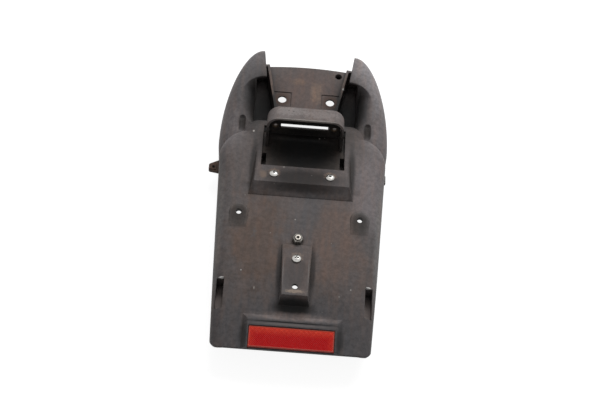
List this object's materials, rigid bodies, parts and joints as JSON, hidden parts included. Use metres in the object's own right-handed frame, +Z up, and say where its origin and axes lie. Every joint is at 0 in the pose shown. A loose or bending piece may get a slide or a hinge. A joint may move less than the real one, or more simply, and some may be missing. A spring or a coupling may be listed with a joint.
{
  "type": "motorcycle_rear_fender",
  "caption": "Worn black moulded motorcycle rear fender with horned tail-lamp bay, plate lamp hood, number-plate bosses and a red reflector on the flap",
  "frame": {"origin": "midway between the two holes of the mounting plate, on the faces of their seats", "axes": "+X to the right seen from behind the flap, +Y from the flap towards the horns, +Z up away from the wheel"},
  "size_m": [0.2024, 0.3735, 0.1018],
  "materials": {
    "worn_black_moulding": "matte black moulding, greyed and stained brown by age and road dirt",
    "plated_screw_steel": "bright plated steel, slightly dull",
    "dull_steel": "darkened steel with dirt in the corners",
    "red_prism_plastic": "clear red moulded prisms",
    "pale_backing_plastic": "pale red backing",
    "rusty_sheet_steel": "rusty spring steel sheet"
  },
  "bodies": {
    "root": {"fender_shell": "worn_black_moulding", "plate_lamp_hood": "worn_black_moulding", "lamp_hood_screws": "plated_screw_steel", "lamp_hood_nuts": "dull_steel", "block_screw": "plated_screw_steel", "block_nut": "dull_steel", "stay_bolt": "dull_steel", "stay_nut": "dull_steel", "reflector_lens": "red_prism_plastic", "reflector_back": "pale_backing_plastic", "reflector_nut": "dull_steel", "side_clip_nut": "rusty_sheet_steel"}
  },
  "joints": []
}
